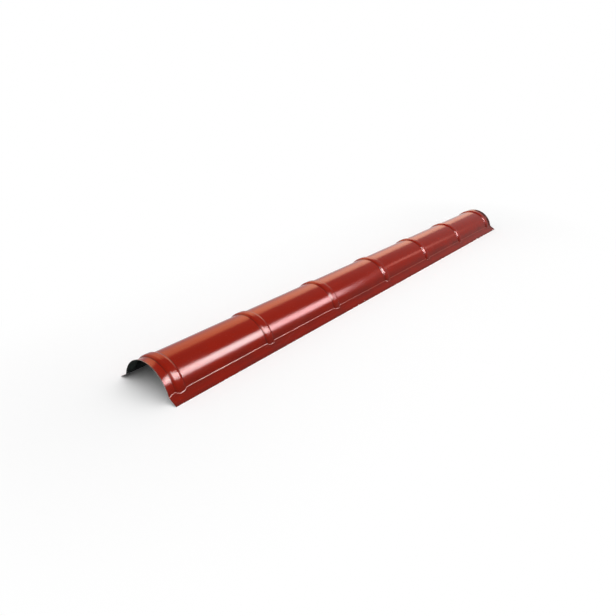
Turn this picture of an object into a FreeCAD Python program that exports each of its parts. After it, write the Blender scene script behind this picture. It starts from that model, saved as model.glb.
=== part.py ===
import FreeCAD, Part
import math
import os

os.makedirs("parts", exist_ok=True)

# all sizes in millimetres; the length lies along X, the width along Y, up is +Z
cover_length = 1900.0        # what one cap covers on the ridge, middle of the first rib to the last
rib_count = 7
end_collar = 38.0            # from the middle of an end rib to the cut end
end_flare = 2.8              # how far a collar opens at the cut end, so that one cap laps the next
dome_radius = 83.0           # outside of the half-round between ribs
crest_height = 78.5          # top of the half-round above the floor, between ribs
crease_height = 17.5         # where the half-round meets the wing, before the crease is rounded
overall_width = 216.0        # outside edge of one wing to the other
sheet = 0.5                  # coated steel
rib_height = 4.5
rib_crown = 20.0             # outside radius over the top of a rib
rib_foot = 8.0               # outside radius where a rib runs out into the half-round
crease_radius = 4.5          # outside radius in the crease

overall_length = cover_length + 2.0 * end_collar
rib_pitch = cover_length / (rib_count - 1)
axis_height = crest_height - dome_radius
crease_half = math.sqrt(dome_radius ** 2 - (crease_height - axis_height) ** 2)
rib_bends = rib_crown + rib_foot
rib_lean = math.acos(1.0 - rib_height / rib_bends)
rib_reach = rib_bends * math.sin(rib_lean)
flare_run = end_collar - rib_reach
flare_radius = (flare_run ** 2 + end_flare ** 2) / (2.0 * end_flare)
ring_end = math.degrees(math.acos((crease_height / 2.0 - axis_height) / dome_radius))
overrun = crease_height      # how far the hollow is cut past the ends and the wing edges

axis_point = FreeCAD.Vector(0, 0, axis_height)
along = FreeCAD.Vector(1, 0, 0)


def wing_line():
    # outer tip of the wing and its slope, so that the inner tip corner touches the floor
    slope = math.atan2(crease_height, overall_width / 2.0 - crease_half)
    for step in range(20):
        tip = FreeCAD.Vector(0, overall_width / 2.0, sheet * math.cos(slope))
        slope = math.atan2(crease_height - tip.z, tip.y - crease_half)
    return tip, slope


wing_tip, wing_slope = wing_line()
wing_down = FreeCAD.Vector(0, math.cos(wing_slope), -math.sin(wing_slope))
wing_normal = FreeCAD.Vector(0, math.sin(wing_slope), math.cos(wing_slope))
inner_tip = wing_tip - wing_normal * sheet


def mirrored(point):
    return FreeCAD.Vector(point.x, -point.y, point.z)


def line(start, end):
    return Part.LineSegment(start, end).toShape()


def arc(start, middle, end):
    return Part.Arc(start, middle, end).toShape()


def crease_points(inset):
    # the rounding between wing and half-round: its two ends and its middle
    rounding = crease_radius + inset
    reach = dome_radius + crease_radius
    off_wing = (wing_tip - axis_point).dot(wing_normal) + crease_radius
    centre = axis_point + wing_normal * off_wing + wing_down * math.sqrt(reach ** 2 - off_wing ** 2)
    to_axis = (axis_point - centre).normalize()
    on_wing = centre - wing_normal * rounding
    middle = centre + (to_axis - wing_normal).normalize() * rounding
    on_dome = centre + to_axis * rounding
    return on_wing, middle, on_dome


def filled_section(inset):
    # the section filled down to the floor, or for the hollow moved in by the inset and cut past the floor
    on_wing, middle, on_dome = crease_points(inset)
    top = FreeCAD.Vector(0, 0, crest_height - inset)
    if inset > 0.0:
        wing_edge = [inner_tip + wing_down * overrun]
    else:
        wing_edge = [inner_tip, wing_tip]
    left = [mirrored(point) for point in wing_edge]
    edges = [line(left[0], wing_edge[0])]
    edges += [line(start, end) for start, end in zip(wing_edge, wing_edge[1:])]
    edges.append(line(wing_edge[-1], on_wing))
    edges.append(arc(on_wing, middle, on_dome))
    edges.append(arc(on_dome, top, mirrored(on_dome)))
    edges.append(arc(mirrored(on_dome), mirrored(middle), mirrored(on_wing)))
    edges.append(line(mirrored(on_wing), left[-1]))
    edges += [line(end, start) for start, end in zip(left, left[1:])]
    return Part.Face(Part.Wire(edges))


def rib_side(inset, side, middle_x, flared):
    # edges of one side of a rib's profile, from the end of its crown out to the half-round,
    # on an end rib's outer side along the flared collar, and back to the middle inside the half-round
    def spot(x, r):
        return FreeCAD.Vector(middle_x + side * x, 0, axis_height + r)

    def foot(angle):
        radius = rib_foot + inset
        return spot(rib_reach - radius * math.sin(angle), dome_radius + rib_foot - radius * math.cos(angle))

    def flare(angle):
        radius = flare_radius + inset
        return spot(rib_reach + radius * math.sin(angle), dome_radius + flare_radius - radius * math.cos(angle))

    edges = [arc(foot(rib_lean), foot(rib_lean / 2.0), foot(0.0))]
    last = foot(0.0)
    if flared:
        turn = math.asin(flare_run / (flare_radius + inset))
        edges.append(arc(last, flare(turn / 2.0), flare(turn)))
        last = flare(turn)
    if flared and inset > 0.0:
        past_end = last + along * (side * overrun)
        edges.append(line(last, past_end))
        last = past_end
    root = FreeCAD.Vector(last.x, 0, axis_height + dome_radius / 2.0)
    edges.append(line(last, root))
    edges.append(line(root, spot(0.0, dome_radius / 2.0)))
    return edges


def rib_ring(inset, number):
    # one rib turned about the half-round's axis
    middle_x = (number - (rib_count - 1) / 2.0) * rib_pitch

    def crown(angle):
        radius = rib_crown - inset
        centre_r = dome_radius + rib_height - rib_crown
        return FreeCAD.Vector(
            middle_x + radius * math.sin(angle), 0, axis_height + centre_r + radius * math.cos(angle)
        )

    edges = [arc(crown(-rib_lean), crown(0.0), crown(rib_lean))]
    edges += rib_side(inset, -1.0, middle_x, number == 0)
    edges += rib_side(inset, 1.0, middle_x, number == rib_count - 1)
    face = Part.Face(Part.Wire(Part.__sortEdges__(edges)))
    face.rotate(axis_point, along, -ring_end)
    return face.revolve(axis_point, along, 2.0 * ring_end)


def filled_cap(inset):
    length = overall_length + (2.0 * overrun if inset > 0.0 else 0.0)
    section = filled_section(inset)
    section.translate(along * (-length / 2.0))
    body = section.extrude(along * length)
    return body.fuse([rib_ring(inset, number) for number in range(rib_count)])


hollowed = filled_cap(0.0).cut(filled_cap(sheet)).removeSplitter()
cap = hollowed.Solids[0]
box = cap.optimalBoundingBox()
print("solids", len(hollowed.Solids), "valid", cap.isValid(), "closed", cap.isClosed(), "faces", len(cap.Faces))
print("box", round(box.XLength, 2), round(box.YLength, 2), round(box.ZLength, 2), "floor", round(box.ZMin, 4))
print("volume cm3", round(cap.Volume / 1000.0, 2), "wing slope", round(math.degrees(wing_slope), 2))
cap.exportStep("parts/ridge_cap.step")
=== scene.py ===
import bpy
import math
from mathutils import Matrix, Vector


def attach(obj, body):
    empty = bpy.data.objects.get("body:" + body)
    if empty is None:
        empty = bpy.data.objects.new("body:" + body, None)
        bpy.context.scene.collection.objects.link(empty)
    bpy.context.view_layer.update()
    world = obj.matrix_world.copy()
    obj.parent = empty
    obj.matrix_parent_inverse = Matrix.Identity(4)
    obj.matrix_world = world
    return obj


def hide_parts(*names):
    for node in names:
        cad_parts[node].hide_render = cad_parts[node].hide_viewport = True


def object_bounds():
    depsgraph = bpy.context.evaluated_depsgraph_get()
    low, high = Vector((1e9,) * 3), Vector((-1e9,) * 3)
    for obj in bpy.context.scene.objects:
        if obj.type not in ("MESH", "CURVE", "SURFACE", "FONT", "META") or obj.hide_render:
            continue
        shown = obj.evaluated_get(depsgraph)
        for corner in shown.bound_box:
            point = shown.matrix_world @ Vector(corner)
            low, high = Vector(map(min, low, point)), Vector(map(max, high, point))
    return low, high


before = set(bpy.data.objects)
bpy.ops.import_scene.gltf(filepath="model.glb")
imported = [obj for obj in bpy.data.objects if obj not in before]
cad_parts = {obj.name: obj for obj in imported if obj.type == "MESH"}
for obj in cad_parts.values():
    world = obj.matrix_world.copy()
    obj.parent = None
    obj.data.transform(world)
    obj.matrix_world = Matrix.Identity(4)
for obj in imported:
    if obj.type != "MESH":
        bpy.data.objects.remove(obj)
cadLow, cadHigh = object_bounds()
print("frame loaded, cad box", [round(v, 4) for v in cadHigh - cadLow])

millimetre = 0.001
fullTurn = 2 * math.pi
noiseMiddle = 0.5
mixSockets = {"share": 0, "first": 6, "second": 7, "result": 2}    # of a Mix node that blends colours


# a value inside a node tree, so that a rule can be written as a sum
class Wire:
    def __init__(self, tree, socket):
        self.tree = tree
        self.socket = socket

    def __add__(self, other):
        return calc(self.tree, "ADD", self, other)

    def __sub__(self, other):
        return calc(self.tree, "SUBTRACT", self, other)

    def __rsub__(self, other):
        return calc(self.tree, "SUBTRACT", other, self)

    def __mul__(self, other):
        return calc(self.tree, "MULTIPLY", self, other)

    def __truediv__(self, other):
        return calc(self.tree, "DIVIDE", self, other)

    __radd__ = __add__


def feed(tree, socket, value):
    if isinstance(value, Wire):
        tree.links.new(value.socket, socket)
    elif isinstance(value, bpy.types.NodeSocket):
        tree.links.new(value, socket)
    else:
        socket.default_value = value


def calc(tree, operation, *values, clamp=False):
    node = tree.nodes.new("ShaderNodeMath")
    node.operation = operation
    node.use_clamp = clamp
    for socket, value in zip(node.inputs, values):
        feed(tree, socket, value)
    return Wire(tree, node.outputs[0])


def addNode(tree, kind, settings=None, **inputs):
    node = tree.nodes.new(kind)
    for name, value in (settings or {}).items():
        setattr(node, name, value)
    for name, value in inputs.items():
        feed(tree, node.inputs[name.replace("_", " ")], value)
    return node


def ramp(tree, value, low, high):
    # soft step from 0 at the low value to 1 at the high one
    node = addNode(tree, "ShaderNodeMapRange", {"interpolation_type": "SMOOTHSTEP"}, Value=value)
    node.inputs["From Min"].default_value = low
    node.inputs["From Max"].default_value = high
    return Wire(tree, node.outputs["Result"])


def blend(tree, share, first, second):
    node = addNode(tree, "ShaderNodeMix", {"data_type": "RGBA"})
    feed(tree, node.inputs[mixSockets["share"]], share)
    feed(tree, node.inputs[mixSockets["first"]], first)
    feed(tree, node.inputs[mixSockets["second"]], second)
    return Wire(tree, node.outputs[mixSockets["result"]])


def noiseAt(tree, x, y, seed, detail):
    spot = addNode(tree, "ShaderNodeCombineXYZ", X=x, Y=y)
    node = addNode(tree, "ShaderNodeTexNoise", {"noise_dimensions": "4D"}, Vector=spot.outputs[0], W=seed)
    node.inputs["Scale"].default_value = 1.0
    node.inputs["Detail"].default_value = detail
    return Wire(tree, node.outputs[0])


def namedWires(tree, node):
    return {socket.name: Wire(tree, socket) for socket in node.outputs if socket.name}


def treeInputs(tree, given):
    # named inputs of a tree as wires, and the values that they get by identifier
    kinds = {int: "NodeSocketInt", float: "NodeSocketFloat", bpy.types.Material: "NodeSocketMaterial"}
    values = {}
    for name, value in given.items():
        socket = tree.interface.new_socket(name, in_out="INPUT", socket_type=kinds[type(value)])
        values[socket.identifier] = value
    return namedWires(tree, tree.nodes.new("NodeGroupInput")), values


def addObject(name, data):
    made = bpy.data.objects.new(name, data)
    bpy.context.scene.collection.objects.link(made)
    return made


# sizes of the cap, its lengths in metres
capSizes = {
    "Rib Count": 7,
    "Cover Length": 1900 * millimetre,
    "End Collar": 38 * millimetre,
    "End Flare": 2.8 * millimetre,
    "Dome Radius": 83 * millimetre,
    "Crest Height": 78.5 * millimetre,
    "Crease Height": 17.5 * millimetre,
    "Overall Width": 216 * millimetre,
    "Sheet": 0.5 * millimetre,
    "Crease Radius": 4.5 * millimetre,
    "Rib Height": 4.5 * millimetre,
    "Rib Crown": 11 * millimetre,          # flatter and wider than the solid's rib, which has few facets
    "Rib Shoulder": 12 * millimetre,
    "Rib Foot": 4.5 * millimetre,
    "Ripple Height": 0.09 * millimetre,    # fine rings that the press leaves on and beside a rib
    "Ripple Length": 7 * millimetre,
    "Ripple Run": 30 * millimetre,
    "Wave Height": 0.12 * millimetre,      # slow unevenness of the rolled sheet
    "Wave Length": 170 * millimetre,
    "Wave Width": 60 * millimetre,
    "Wave Seed": 4.0,
}
# grid steps from a rib's crest outwards, and from the crest line down to a wing's edge
ribSteps = {"crown": 4, "shoulder": 9, "foot": 6, "ripple": 9, "body": 8}
sectionSteps = {"dome": 28, "crease": 6, "wing": 4}
ribColumns = 2 * sum(ribSteps.values())
sectionRows = 2 * sum(sectionSteps.values())
slopeRounds = 4                  # rounds in which the wing's slope settles
weldGap = 0.01 * millimetre
sharpAngle = 1.0                 # radians, less than the corner at a cut edge and more than any bend


def shares(tree, index, steps):
    # how far along each stretch an index has come, each from 0 to 1
    result = {}
    start = 0
    for name, count in steps.items():
        result[name] = calc(tree, "DIVIDE", index - start, count, clamp=True)
        start += count
    return result


def hump(share):
    # 0 at both ends of a stretch and 1 in its middle
    return share * (1.0 - share) * 4


def lengthwise(tree, size, share):
    # from a share of the grid's length to the place along the cap, the height over the half-round
    # and how near the middle of a rib's foot it is
    lastRib = size["Rib Count"] - 1
    column = calc(tree, "ROUND", share * (size["Rib Count"] * ribColumns))
    rib = calc(tree, "MINIMUM", calc(tree, "FLOOR", column / ribColumns), lastRib)
    step = column - rib * ribColumns - ribColumns / 2
    away = shares(tree, calc(tree, "ABSOLUTE", step), ribSteps)
    pitch = size["Cover Length"] / lastRib
    atStart = calc(tree, "LESS_THAN", rib, 0.5) * calc(tree, "LESS_THAN", step, 0.0)
    atEnd = calc(tree, "GREATER_THAN", rib, lastRib - 0.5) * calc(tree, "GREATER_THAN", step, 0.0)
    atCollar = atStart + atEnd

    # the rib's profile: flat crown, shoulder arc, foot arc, then the plain body or the flared collar
    shoulder = size["Rib Shoulder"]
    foot = size["Rib Foot"]
    lean = calc(tree, "ARCCOSINE", 1.0 - size["Rib Height"] / (shoulder + foot))
    leanSine = calc(tree, "SINE", lean)
    ribReach = size["Rib Crown"] / 2 + (shoulder + foot) * leanSine
    plain = pitch / 2 + atCollar * (size["End Collar"] - pitch / 2) - ribReach
    pressed = calc(tree, "MINIMUM", size["Ripple Run"], plain / 2)
    beyond = pressed * away["ripple"] + (plain - pressed) * away["body"]
    shoulderLean = lean * away["shoulder"]
    footLean = lean * (1.0 - away["foot"])
    along = size["Rib Crown"] / 2 * away["crown"] + shoulder * calc(tree, "SINE", shoulderLean)
    along = along + foot * (leanSine - calc(tree, "SINE", footLean)) + beyond
    drop = shoulder * (1.0 - calc(tree, "COSINE", shoulderLean))
    drop = drop + foot * (calc(tree, "COSINE", footLean) - calc(tree, "COSINE", lean))
    flareRun = size["End Collar"] - ribReach
    flareRadius = (flareRun * flareRun / size["End Flare"] + size["End Flare"]) / 2
    collarRun = beyond * atCollar
    flare = flareRadius - calc(tree, "SQRT", flareRadius * flareRadius - collarRun * collarRun)

    waveTurn = calc(tree, "DIVIDE", fullTurn, size["Ripple Length"])
    crownRipple = calc(tree, "COSINE", along * waveTurn) * (1.0 - away["foot"])
    sideRipple = calc(tree, "SINE", beyond * waveTurn) * (1.0 - away["ripple"])
    rise = size["Rib Height"] - drop + flare + size["Ripple Height"] * (crownRipple + sideRipple)
    x = (rib - lastRib / 2) * pitch + calc(tree, "SIGN", step) * along
    return x, rise, hump(away["foot"])


def wingLine(tree, size):
    # outer tip of the wing over the axis, and its slope, with the inner tip corner on the floor
    axisHeight = size["Crest Height"] - size["Dome Radius"]
    creaseUp = size["Crease Height"] - axisHeight
    radius = size["Dome Radius"]
    creaseHalf = calc(tree, "SQRT", radius * radius - creaseUp * creaseUp)
    run = size["Overall Width"] / 2 - creaseHalf
    slope = calc(tree, "ARCTAN2", size["Crease Height"], run)
    for step in range(slopeRounds):
        tipHeight = size["Sheet"] * calc(tree, "COSINE", slope)
        slope = calc(tree, "ARCTAN2", size["Crease Height"] - tipHeight, run)
    return axisHeight, tipHeight - axisHeight, slope


def crosswise(tree, size, share, rise):
    # from a share of the grid's width to the place on the section: half-round, rounded crease, wing
    row = calc(tree, "ROUND", (share - 0.5) * sectionRows)
    side = calc(tree, "SIGN", row)
    down = shares(tree, calc(tree, "ABSOLUTE", row), sectionSteps)
    axisHeight, tipUp, slope = wingLine(tree, size)
    slopeSine = calc(tree, "SINE", slope)
    slopeCosine = calc(tree, "COSINE", slope)
    tipOut = size["Overall Width"] / 2
    rounding = size["Crease Radius"]
    radius = size["Dome Radius"] + rise
    offLine = tipOut * slopeSine + tipUp * slopeCosine + rounding
    onLine = calc(tree, "SQRT", (radius + rounding) * (radius + rounding) - offLine * offLine)
    centreOut = offLine * slopeSine + onLine * slopeCosine
    centreUp = offLine * slopeCosine - onLine * slopeSine
    domeEnd = calc(tree, "ARCTAN2", centreOut, centreUp)
    turn = domeEnd * down["dome"]
    bend = domeEnd + (slope - domeEnd) * down["crease"]
    wingOut = tipOut - centreOut + rounding * slopeSine
    wingUp = tipUp - centreUp + rounding * slopeCosine
    out = radius * calc(tree, "SINE", turn) + wingOut * down["wing"]
    out = out + rounding * (calc(tree, "SINE", domeEnd) - calc(tree, "SINE", bend))
    up = axisHeight + radius * calc(tree, "COSINE", turn) + wingUp * down["wing"]
    up = up + rounding * (calc(tree, "COSINE", domeEnd) - calc(tree, "COSINE", bend))
    # lengths measured on the sheet: from the crest line, on to the wing's edge, and to the crease
    wingLength = wingOut / slopeCosine
    across = radius * turn + rounding * (domeEnd - bend) + wingLength * down["wing"]
    toEdge = wingLength * (1.0 - down["wing"]) + rounding * (bend - slope) + radius * (domeEnd - turn)
    toCrease = radius * (domeEnd - turn) + wingLength * down["wing"]
    return out * side, up, {
        "across": across * side,
        "wingGap": toEdge,
        "creaseGap": toCrease,
        "creaseBend": hump(down["crease"]),
        "onDome": 1.0 - down["crease"],
    }


def keep(tree, geometry, name, kind, value):
    node = addNode(
        tree, "GeometryNodeStoreNamedAttribute", {"data_type": kind},
        Geometry=geometry, Name=name, Value=value,
    )
    return node.outputs[0]


def capTree(materials):
    tree = bpy.data.node_groups.new("ridgeCapSheet", "GeometryNodeTree")
    tree.interface.new_socket("Geometry", in_out="OUTPUT", socket_type="NodeSocketGeometry")
    size, values = treeInputs(tree, {**capSizes, **materials})

    # a flat grid, one column for each step along the cap and one row for each step across it
    grid = addNode(tree, "GeometryNodeMeshGrid", Size_X=1.0, Size_Y=1.0)
    feed(tree, grid.inputs["Vertices X"], size["Rib Count"] * ribColumns + 1)
    grid.inputs["Vertices Y"].default_value = sectionRows + 1
    place = addNode(tree, "GeometryNodeInputPosition")
    flat = addNode(tree, "ShaderNodeSeparateXYZ", Vector=place.outputs[0])
    x, rise, footBend = lengthwise(tree, size, Wire(tree, flat.outputs["X"]) + 0.5)
    y, z, onSection = crosswise(tree, size, Wire(tree, flat.outputs["Y"]) + 0.5, rise)
    halfLength = size["Cover Length"] / 2 + size["End Collar"]
    gaps = {"endGap": halfLength - calc(tree, "ABSOLUTE", x), "lapGap": halfLength - x}
    spot = addNode(tree, "ShaderNodeCombineXYZ", X=x, Y=y, Z=z)
    sheetPlace = addNode(tree, "ShaderNodeCombineXYZ", X=x, Y=onSection.pop("across"))
    marked = keep(tree, grid.outputs["Mesh"], "sheetPlace", "FLOAT_VECTOR", sheetPlace.outputs[0])
    footBend = footBend * onSection.pop("onDome")
    for name, value in {**onSection, **gaps, "footBend": footBend}.items():
        marked = keep(tree, marked, name, "FLOAT", value)
    shaped = addNode(tree, "GeometryNodeSetPosition", Geometry=marked, Position=spot.outputs[0])

    # slow unevenness, pushed out and in along the surface
    places = {"data_type": "FLOAT_VECTOR"}
    read = addNode(tree, "GeometryNodeInputNamedAttribute", places, Name="sheetPlace")
    onSheet = addNode(tree, "ShaderNodeSeparateXYZ", Vector=read.outputs[0])
    waveX = Wire(tree, onSheet.outputs["X"]) / size["Wave Length"]
    waveY = Wire(tree, onSheet.outputs["Y"]) / size["Wave Width"]
    wave = noiseAt(tree, waveX, waveY, size["Wave Seed"], 1.0)
    push = (wave - noiseMiddle) * (size["Wave Height"] * 2)
    normal = addNode(tree, "GeometryNodeInputNormal")
    scaling = {"operation": "SCALE"}
    offset = addNode(tree, "ShaderNodeVectorMath", scaling, Vector=normal.outputs[0], Scale=push)
    skin = addNode(tree, "GeometryNodeSetPosition", Geometry=shaped.outputs[0], Offset=offset.outputs[0])

    # the sheet's thickness: a turned copy pushed inwards, welded to the outside along the cut edges
    turned = addNode(tree, "GeometryNodeFlipFaces", Mesh=skin.outputs[0])
    wall = addNode(tree, "GeometryNodeExtrudeMesh", Mesh=turned.outputs[0], Offset_Scale=size["Sheet"])
    wall.inputs["Individual"].default_value = False
    both = tree.nodes.new("GeometryNodeJoinGeometry")
    tree.links.new(wall.outputs["Mesh"], both.inputs[0])
    tree.links.new(skin.outputs[0], both.inputs[0])
    welded = addNode(tree, "GeometryNodeMergeByDistance", Geometry=both.outputs[0], Distance=weldGap)
    smooth = addNode(tree, "GeometryNodeSetShadeSmooth", Geometry=welded.outputs[0])
    corner = addNode(tree, "GeometryNodeInputMeshEdgeAngle")
    sharp = calc(tree, "GREATER_THAN", Wire(tree, corner.outputs["Unsigned Angle"]), sharpAngle)
    crisp = addNode(
        tree, "GeometryNodeSetShadeSmooth", {"domain": "EDGE"}, Geometry=smooth.outputs[0],
        Selection=sharp, Shade_Smooth=False,
    )

    real = addNode(tree, "GeometryNodeRealizeInstances", Geometry=crisp.outputs[0])
    coated = addNode(tree, "GeometryNodeSetMaterial", Geometry=real.outputs[0], Material=size["Outer Coat"])
    backed = addNode(
        tree, "GeometryNodeSetMaterial", Geometry=coated.outputs[0], Selection=wall.outputs["Top"],
        Material=size["Backing Coat"],
    )
    edged = addNode(
        tree, "GeometryNodeSetMaterial", Geometry=backed.outputs[0], Selection=wall.outputs["Side"],
        Material=size["Cut Edge"],
    )
    groupOut = tree.nodes.new("NodeGroupOutput")
    tree.links.new(edged.outputs[0], groupOut.inputs[0])
    return tree, values


def dropEmptySlots(mesh):
    # the tree leaves a slot without a material, and the faces' numbers are moved up past it
    kept = [m for m in mesh.materials if m]
    place = [kept.index(m) if m else 0 for m in mesh.materials]
    numbers = [place[face.material_index] for face in mesh.polygons]
    mesh.materials.clear()
    for material in kept:
        mesh.materials.append(material)
    mesh.polygons.foreach_set("material_index", numbers)


def buildCap(materials):
    tree, values = capTree(materials)
    cap = addObject("ridgeCap", bpy.data.meshes.new("ridgeCapStart"))
    maker = cap.modifiers.new("sheetMaker", "NODES")
    maker.node_group = tree
    for identifier, value in values.items():
        maker[identifier] = value
    view = bpy.context.evaluated_depsgraph_get()
    mesh = bpy.data.meshes.new_from_object(cap.evaluated_get(view), depsgraph=view)
    cap.modifiers.remove(maker)
    dropEmptySlots(mesh)
    mesh.name = "ridgeCapMesh"
    cap.data = mesh
    print("ridge cap", len(mesh.polygons), "faces", [m.name for m in mesh.materials])
    return cap


def newMaterial(name):
    material = bpy.data.materials.new(name)
    material.use_nodes = True
    tree = material.node_tree
    tree.nodes.clear()
    shader = tree.nodes.new("ShaderNodeBsdfPrincipled")
    result = tree.nodes.new("ShaderNodeOutputMaterial")
    tree.links.new(shader.outputs[0], result.inputs["Surface"])
    return material, tree, shader


# how the marks on the sheet are spread: lengths in metres, turns and edges in the pattern's own values
finishShape = {
    "cloudDetail": 3.0, "cloudTurn": (0.34, 0.66),
    "streakDetail": 2.0, "streakStretch": 70, "streakTurn": (0.3, 0.7),
    "grainDetail": 1.0,
    "speckSpread": 0.1, "speckEdge": (-0.03, 0.03),
    "scratchSlant": 0.3, "scratchLength": 0.09, "scratchWidth": 0.0035,
    "scratchDetail": 1.0, "scratchEdge": (0.004, 0.014),
    "patchLength": 0.2, "patchWidth": 0.05, "patchDetail": 1.0, "patchTurn": (0.5, 0.7),
}
finishInputs = ("Cloud Size", "Streak Width", "Grain Size", "Speck Gap", "Seed")
finishOutputs = ("Clouds", "Streaks", "Grain", "Specks", "Scratches")


# what rolling, handling and weather leave on any face of the sheet, each value from 0 to 1
def sheetFinish():
    shape = finishShape
    group = bpy.data.node_groups.new("sheetFinish", "ShaderNodeTree")
    group.interface.new_socket("Place", in_out="INPUT", socket_type="NodeSocketVector")
    for name in finishInputs:
        group.interface.new_socket(name, in_out="INPUT", socket_type="NodeSocketFloat")
    for name in finishOutputs:
        group.interface.new_socket(name, in_out="OUTPUT", socket_type="NodeSocketFloat")
    given = namedWires(group, group.nodes.new("NodeGroupInput"))
    groupOut = group.nodes.new("NodeGroupOutput")
    place = addNode(group, "ShaderNodeSeparateXYZ", Vector=given["Place"])
    x = Wire(group, place.outputs["X"])
    y = Wire(group, place.outputs["Y"])
    seed = given["Seed"]

    cloudSize = given["Cloud Size"]
    cloud = noiseAt(group, x / cloudSize, y / cloudSize, seed, shape["cloudDetail"])
    clouds = ramp(group, cloud, *shape["cloudTurn"])
    # drawn out along the cap by the rolls
    streakWidth = given["Streak Width"]
    streakX = x / (streakWidth * shape["streakStretch"])
    streak = noiseAt(group, streakX, y / streakWidth, seed + 1, shape["streakDetail"])
    streaks = ramp(group, streak, *shape["streakTurn"])
    grainSize = given["Grain Size"]
    grain = noiseAt(group, x / grainSize, y / grainSize, seed + 2, shape["grainDetail"])

    speckGap = given["Speck Gap"]
    speckSpot = addNode(group, "ShaderNodeCombineXYZ", X=x / speckGap, Y=y / speckGap)
    flatCells = {"voronoi_dimensions": "2D"}
    cell = addNode(group, "ShaderNodeTexVoronoi", flatCells, Vector=speckSpot.outputs[0], Scale=1.0)
    chance = addNode(group, "ShaderNodeSeparateColor", Color=cell.outputs["Color"])
    reach = Wire(group, chance.outputs["Red"]) * shape["speckSpread"]
    specks = 1.0 - ramp(group, Wire(group, cell.outputs["Distance"]) - reach, *shape["speckEdge"])

    # fine lines at a slant, only in some patches
    slantX = (x + y * shape["scratchSlant"]) / shape["scratchLength"]
    slantY = (y - x * shape["scratchSlant"]) / shape["scratchWidth"]
    line = noiseAt(group, slantX, slantY, seed + 3, shape["scratchDetail"])
    scratches = 1.0 - ramp(group, calc(group, "ABSOLUTE", line - noiseMiddle), *shape["scratchEdge"])
    patchX = x / shape["patchLength"]
    patch = noiseAt(group, patchX, y / shape["patchWidth"], seed + 4, shape["patchDetail"])
    scratches = scratches * ramp(group, patch, *shape["patchTurn"])

    for name, value in zip(finishOutputs, (clouds, streaks, grain, specks, scratches)):
        feed(group, groupOut.inputs[name], value)
    return group


def finishNode(tree, group, look):
    # the finish at each place on the sheet, with the look's own sizes
    node = tree.nodes.new("ShaderNodeGroup")
    node.node_tree = group
    place = addNode(tree, "ShaderNodeAttribute", {"attribute_name": "sheetPlace"})
    feed(tree, node.inputs["Place"], place.outputs["Vector"])
    for name in finishInputs:
        node.inputs[name].default_value = look[name]
    return namedWires(tree, node)


def mark(tree, name):
    return Wire(tree, addNode(tree, "ShaderNodeAttribute", {"attribute_name": name}).outputs["Fac"])


def addBump(tree, shader, height, depth):
    bump = addNode(tree, "ShaderNodeBump", Height=height)
    bump.inputs["Distance"].default_value = depth
    bump.inputs["Strength"].default_value = 1.0
    tree.links.new(bump.outputs["Normal"], shader.inputs["Normal"])


redCoatLook = {
    "Cloud Size": 0.11, "Streak Width": 0.007, "Grain Size": 0.0026, "Speck Gap": 0.014, "Seed": 2.0,
    "colour": (0.268, 0.009, 0.0009, 1), "deepColour": (0.222, 0.0075, 0.0009, 1), "cloudDepth": 0.55,
    "streakColour": (0.285, 0.0125, 0.003, 1), "streakDepth": 0.3,
    "dustColour": (0.36, 0.16, 0.12, 1), "dustDepth": 0.08,
    # painted shade: the dark colour and the depths below darken the rib feet, crease, both ends and wing
    # edges
    "shadeColour": (0.03, 0.008, 0.006, 1), "leastShade": 0.6, "cloudShade": 0.5, "footShade": 0.85,
    "endShade": 0.5, "endReach": 0.008, "farEndShade": 0.9, "lapReach": 0.04,
    "wingEdgeShade": 0.5, "wingReach": 0.02, "creaseShade": 0.38, "creaseReach": 0.03,
    # painted highlight: the pale crease colour below stands in for a reflection
    "creaseHighlightColour": (0.62, 0.24, 0.16, 1), "creaseHighlightDepth": 0.15,
    "primerColour": (0.3, 0.26, 0.22, 1), "chipSpread": 0.0022, "chipHold": 0.00077,
    "gloss": 0.06, "roughness": 0.125, "cloudRoughness": 0.04, "scratchRoughness": 0.16,
    "shadeRoughness": 0.08, "chipRoughness": 0.3,
    "bumpDepth": 0.000016, "grainShare": 0.35,
}


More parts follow.
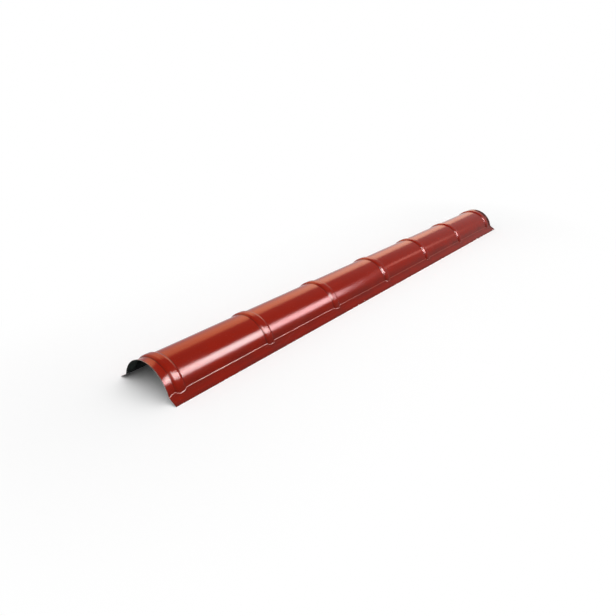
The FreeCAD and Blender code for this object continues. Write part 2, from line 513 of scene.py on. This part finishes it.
def redCoat(group):
    look = redCoatLook
    material, tree, shader = newMaterial("redCoat")
    shader.inputs["Specular IOR Level"].default_value = look["gloss"]
    finish = finishNode(tree, group, look)
    wingGap = mark(tree, "wingGap")
    endGap = mark(tree, "endGap")
    edgeGap = calc(tree, "MINIMUM", wingGap, endGap)
    colour = blend(tree, finish["Clouds"] * look["cloudDepth"], look["colour"], look["deepColour"])
    colour = blend(tree, finish["Streaks"] * look["streakDepth"], colour, look["streakColour"])
    colour = blend(tree, finish["Specks"] * look["dustDepth"], colour, look["dustColour"])
    # painted shade: a darker base colour beside the ribs and the crease, at both ends, most at the far one,
    # and on the wing edges
    # painted shade in the hollow feet of the ribs
    paintedShade = mark(tree, "footBend") * look["footShade"]
    for gap, depth, reach in (
        (endGap, look["endShade"], look["endReach"]),
        (mark(tree, "lapGap"), look["farEndShade"], look["lapReach"]),
        (wingGap, look["wingEdgeShade"], look["wingReach"]),
        (mark(tree, "creaseGap"), look["creaseShade"], look["creaseReach"]),
    ):
        paintedShade = calc(tree, "MAXIMUM", paintedShade, (1.0 - ramp(tree, gap, 0.0, reach)) * depth)
    # the painted shade is patchy with the clouds
    paintedShade = paintedShade * (finish["Clouds"] * look["cloudShade"] + look["leastShade"])
    colour = blend(tree, paintedShade, colour, look["shadeColour"])
    # painted highlight: a pale peach line along the crease, standing in for its reflection of the side
    # strip
    colour = blend(tree, mark(tree, "creaseBend") * look["creaseHighlightDepth"], colour, look["creaseHighlightColour"])
    # the coat is chipped to the primer here and there along its edges
    chip = calc(tree, "LESS_THAN", edgeGap, finish["Grain"] * look["chipSpread"] - look["chipHold"])
    feed(tree, shader.inputs["Base Color"], blend(tree, chip, colour, look["primerColour"]))
    roughness = finish["Clouds"] * look["cloudRoughness"] + look["roughness"]
    roughness = roughness + finish["Scratches"] * look["scratchRoughness"] + paintedShade * look["shadeRoughness"]
    feed(tree, shader.inputs["Roughness"], roughness + chip * look["chipRoughness"])
    addBump(tree, shader, finish["Streaks"] + finish["Grain"] * look["grainShare"], look["bumpDepth"])
    return material


backingCoatLook = {
    "Cloud Size": 0.024, "Streak Width": 0.012, "Grain Size": 0.004, "Speck Gap": 0.02, "Seed": 11.0,
    # the backing's grey is darkened nearly to black: a real dark coat, partly painted shade for the inside
    # of the arch
    "colour": (0.0045, 0.006, 0.0055, 1), "mottleColour": (0.03, 0.04, 0.035, 1), "mottleDepth": 0.8,
    "streakColour": (0.016, 0.02, 0.019, 1), "streakDepth": 0.4,
    "dustColour": (0.16, 0.15, 0.13, 1), "dustDepth": 0.3, "scratchDepth": 0.15,
    "gloss": 0.06, "roughness": 0.5, "cloudRoughness": 0.14, "bumpDepth": 0.00006, "streakShare": 0.4,
}


def backingCoat(group):
    look = backingCoatLook
    material, tree, shader = newMaterial("backingCoat")
    shader.inputs["Specular IOR Level"].default_value = look["gloss"]
    finish = finishNode(tree, group, look)
    colour = blend(tree, finish["Clouds"] * look["mottleDepth"], look["colour"], look["mottleColour"])
    colour = blend(tree, finish["Streaks"] * look["streakDepth"], colour, look["streakColour"])
    dust = finish["Specks"] * look["dustDepth"] + finish["Scratches"] * look["scratchDepth"]
    feed(tree, shader.inputs["Base Color"], blend(tree, dust, colour, look["dustColour"]))
    feed(tree, shader.inputs["Roughness"], finish["Clouds"] * look["cloudRoughness"] + look["roughness"])
    addBump(tree, shader, finish["Grain"] + finish["Streaks"] * look["streakShare"], look["bumpDepth"])
    return material


cutEdgeLook = {
    "Cloud Size": 0.02, "Streak Width": 0.004, "Grain Size": 0.0015, "Speck Gap": 0.012, "Seed": 23.0,
    "colour": (0.4, 0.39, 0.37, 1), "dullColour": (0.16, 0.13, 0.11, 1), "roughness": 0.36,
    "cloudRoughness": 0.25, "bumpDepth": 0.00003,
}


def cutEdge(group):
    look = cutEdgeLook
    material, tree, shader = newMaterial("cutEdge")
    finish = finishNode(tree, group, look)
    shader.inputs["Metallic"].default_value = 1.0
    colour = blend(tree, finish["Clouds"], look["colour"], look["dullColour"])
    feed(tree, shader.inputs["Base Color"], colour)
    feed(tree, shader.inputs["Roughness"], finish["Clouds"] * look["cloudRoughness"] + look["roughness"])
    addBump(tree, shader, finish["Grain"], look["bumpDepth"])
    return material


finishGroup = sheetFinish()
print("sheet materials ready")
cap = buildCap({
    "Outer Coat": redCoat(finishGroup),
    "Backing Coat": backingCoat(finishGroup),
    "Cut Edge": cutEdge(finishGroup),
})
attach(cap, "root")
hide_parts("ridge_cap")


# the camera stands low beside the near end, as the photograph was taken
cameraPlace = {
    "azimuth": -51.96,
    "elevation": 24.01,
    "roll": 0.74,
    "distance": 1.738,
    "target": (-0.3641, 0.0, 0.0057),
    "focalPixels": 535.95,
    "framePixels": 616,
    "sensorWidth": 36,
    "nearest": 0.01,
    "farthest": 100,
}


def addCamera():
    data = bpy.data.cameras.new("camera")
    camera = addObject("camera", data)
    azimuth = math.radians(cameraPlace["azimuth"])
    elevation = math.radians(cameraPlace["elevation"])
    back = Vector((
        math.sin(azimuth) * math.cos(elevation),
        -math.cos(azimuth) * math.cos(elevation),
        math.sin(elevation),
    ))
    roll = Matrix.Rotation(math.radians(cameraPlace["roll"]), 4, "Z")
    turn = (-back).to_track_quat("-Z", "Y").to_matrix().to_4x4()
    spot = Vector(cameraPlace["target"]) + back * cameraPlace["distance"]
    camera.matrix_world = Matrix.Translation(spot) @ turn @ roll
    data.sensor_width = cameraPlace["sensorWidth"]
    data.lens = cameraPlace["focalPixels"] / cameraPlace["framePixels"] * data.sensor_width
    data.clip_start = cameraPlace["nearest"]
    data.clip_end = cameraPlace["farthest"]
    bpy.context.scene.camera = camera


addCamera()


# strips on both sides of the cap, which show only in its gloss, and a sky panel that lights it from above;
# start, end, fade and turns are places along the cap in metres, and elevation counts from the camera's side
sideStrip = {
    "start": -2.6, "end": 1.95, "distance": 1.5, "elevation": 43.4, "height": 0.95, "tilt": -4.0,
    "radiance": 122.0, "colour": (0.98, 1.0, 1.0, 1), "farColour": (0.75, 0.52, 0.54, 1),
    "colourTurn": (0.4, 0.8), "fade": (1.28, 1.78), "fadePower": 2.5, "edges": (0.4, 0.4),
    "dim": 0.1, "dimTurn": (-1.35, -1.0),
}
farStrip = {
    "start": 2.1, "end": 4.0, "distance": 1.5, "elevation": 47.0, "height": 0.5, "tilt": -12.0,
    "radiance": 13.0, "colour": (1.0, 0.39, 0.31, 1), "farColour": (1.0, 0.36, 0.25, 1),
    "colourTurn": (3.0, 4.0), "fade": (2.3, 3.9), "fadePower": 1.4, "edges": (0.4, 0.4),
    "dim": 1.0, "dimTurn": (2.0, 2.1),
}
crestStrip = {
    "start": -1.6, "end": 5.5, "distance": 1.5, "elevation": 147.0, "height": 1.8, "tilt": 3.3,
    "radiance": 10.3, "colour": (1.0, 0.41, 0.17, 1), "farColour": (1.0, 0.56, 0.35, 1),
    "colourTurn": (0.3, 1.9), "fade": (0.5, 9.5), "fadePower": 2.5, "edges": (0.85, 0.22),
    "dim": 0.0, "dimTurn": (-1.6, -1.1),
}
skyPanel = {"spot": (0, -0.6, 3.0), "aim": (0, 0, 0), "width": 5.0, "height": 5.0, "radiance": 0.6}
stripAimHeight = 0.045


def addPanel(name, spot, aim, width, height, radiance):
    data = bpy.data.lights.new(name, "AREA")
    data.shape = "RECTANGLE"
    data.size = width
    data.size_y = height
    data.energy = math.pi * width * height * radiance
    lamp = addObject(name, data)
    lamp.location = spot
    lamp.rotation_euler = (Vector(aim) - Vector(spot)).to_track_quat("-Z", "Y").to_euler()
    lamp.visible_camera = False
    return lamp


def addStrip(name, strip):
    # soft at its long edges, at its near end down to the share dim, and fading towards its far end
    middle = (strip["start"] + strip["end"]) / 2
    length = strip["end"] - strip["start"]
    elevation = math.radians(strip["elevation"])
    spot = (
        middle,
        -strip["distance"] * math.cos(elevation),
        stripAimHeight + strip["distance"] * math.sin(elevation),
    )
    aim = (middle, 0, stripAimHeight)
    lamp = addPanel(name, spot, aim, length, strip["height"], strip["radiance"])
    lamp.rotation_euler.rotate_axis("Z", math.radians(strip["tilt"]))
    lamp.visible_diffuse = False
    lamp.data.use_nodes = True
    tree = lamp.data.node_tree
    glow = tree.nodes["Emission"]
    place = addNode(tree, "ShaderNodeNewGeometry")
    share = addNode(tree, "ShaderNodeSeparateXYZ", Vector=place.outputs["Parametric"])
    run = Wire(tree, share.outputs["X"])
    if spot[1] > 0:
        run = 1.0 - run    # a lamp on the far side is turned round
    x = run * length + strip["start"]
    up = Wire(tree, share.outputs["Y"])
    lowEdge, highEdge = strip["edges"]
    soft = ramp(tree, up, 0.0, lowEdge) * (1.0 - ramp(tree, up, 1.0 - highEdge, 1.0))
    fadeStart, fadeEnd = strip["fade"]
    left = 1.0 - calc(tree, "DIVIDE", x - fadeStart, fadeEnd - fadeStart, clamp=True)
    soft = soft * (ramp(tree, x, *strip["dimTurn"]) * (1.0 - strip["dim"]) + strip["dim"])
    feed(tree, glow.inputs["Strength"], soft * calc(tree, "POWER", left, strip["fadePower"]))
    colour = blend(tree, ramp(tree, x, *strip["colourTurn"]), strip["colour"], strip["farColour"])
    feed(tree, glow.inputs["Color"], colour)


addStrip("sideStrip", sideStrip)
addStrip("farStrip", farStrip)
addStrip("crestStrip", crestStrip)
sky = addPanel("skyPanel", **skyPanel)
sky.visible_glossy = False

# brightness of floor and backdrop: the camera, the gloss and glass all see the same white
room = {
    "floor": (0.97, 0.97, 0.97, 1), "seen": (1, 1, 1, 1), "ambient": (0.75, 0.75, 0.75, 1),
    "floorHalf": 40.0, "nearFloor": 0.14, "farFloor": 0.65,
}


def showsBackdrop(tree):
    # 1 for a ray that shows the backdrop as it is, 0 for one that only brings light
    path = tree.nodes.new("ShaderNodeLightPath")
    rays = ("Is Camera Ray", "Is Glossy Ray", "Is Transmission Ray")
    return sum(Wire(tree, path.outputs[name]) for name in rays)


def addFloor():
    # plain round the cap, so that it keeps the shadow, and melting into the backdrop further out
    half = room["floorHalf"]
    corners = [(-half, -half, 0), (half, -half, 0), (half, half, 0), (-half, half, 0)]
    mesh = bpy.data.meshes.new("floor")
    mesh.from_pydata(corners, [], [(0, 1, 2, 3)])
    floor = addObject("floor", mesh)
    material, tree, shader = newMaterial("paleFloor")
    shader.inputs["Base Color"].default_value = room["floor"]
    shader.inputs["Roughness"].default_value = 1.0
    shader.inputs["Specular IOR Level"].default_value = 0.0
    place = addNode(tree, "ShaderNodeTexCoord")
    spot = addNode(tree, "ShaderNodeSeparateXYZ", Vector=place.outputs["Object"])
    pastEnd = calc(tree, "ABSOLUTE", Wire(tree, spot.outputs["X"])) - cadHigh.x
    pastEnd = calc(tree, "MAXIMUM", pastEnd, 0.0)
    aside = Wire(tree, spot.outputs["Y"])
    away = calc(tree, "SQRT", pastEnd * pastEnd + aside * aside)
    far = ramp(tree, away, room["nearFloor"], room["farFloor"]) * showsBackdrop(tree)
    backdrop = addNode(tree, "ShaderNodeEmission", Color=room["seen"])
    melted = addNode(tree, "ShaderNodeMixShader")
    feed(tree, melted.inputs[0], far)
    feed(tree, melted.inputs[1], shader.outputs[0])
    feed(tree, melted.inputs[2], backdrop.outputs[0])
    tree.links.new(melted.outputs[0], tree.nodes["Material Output"].inputs["Surface"])
    mesh.materials.append(material)


def addWorld():
    world = bpy.data.worlds.new("studio")
    bpy.context.scene.world = world
    world.use_nodes = True
    tree = world.node_tree
    colour = blend(tree, showsBackdrop(tree), room["ambient"], room["seen"])
    feed(tree, tree.nodes["Background"].inputs["Color"], colour)


addFloor()
addWorld()
bpy.context.scene.view_settings.view_transform = "Standard"
print("camera, lights and floor placed")
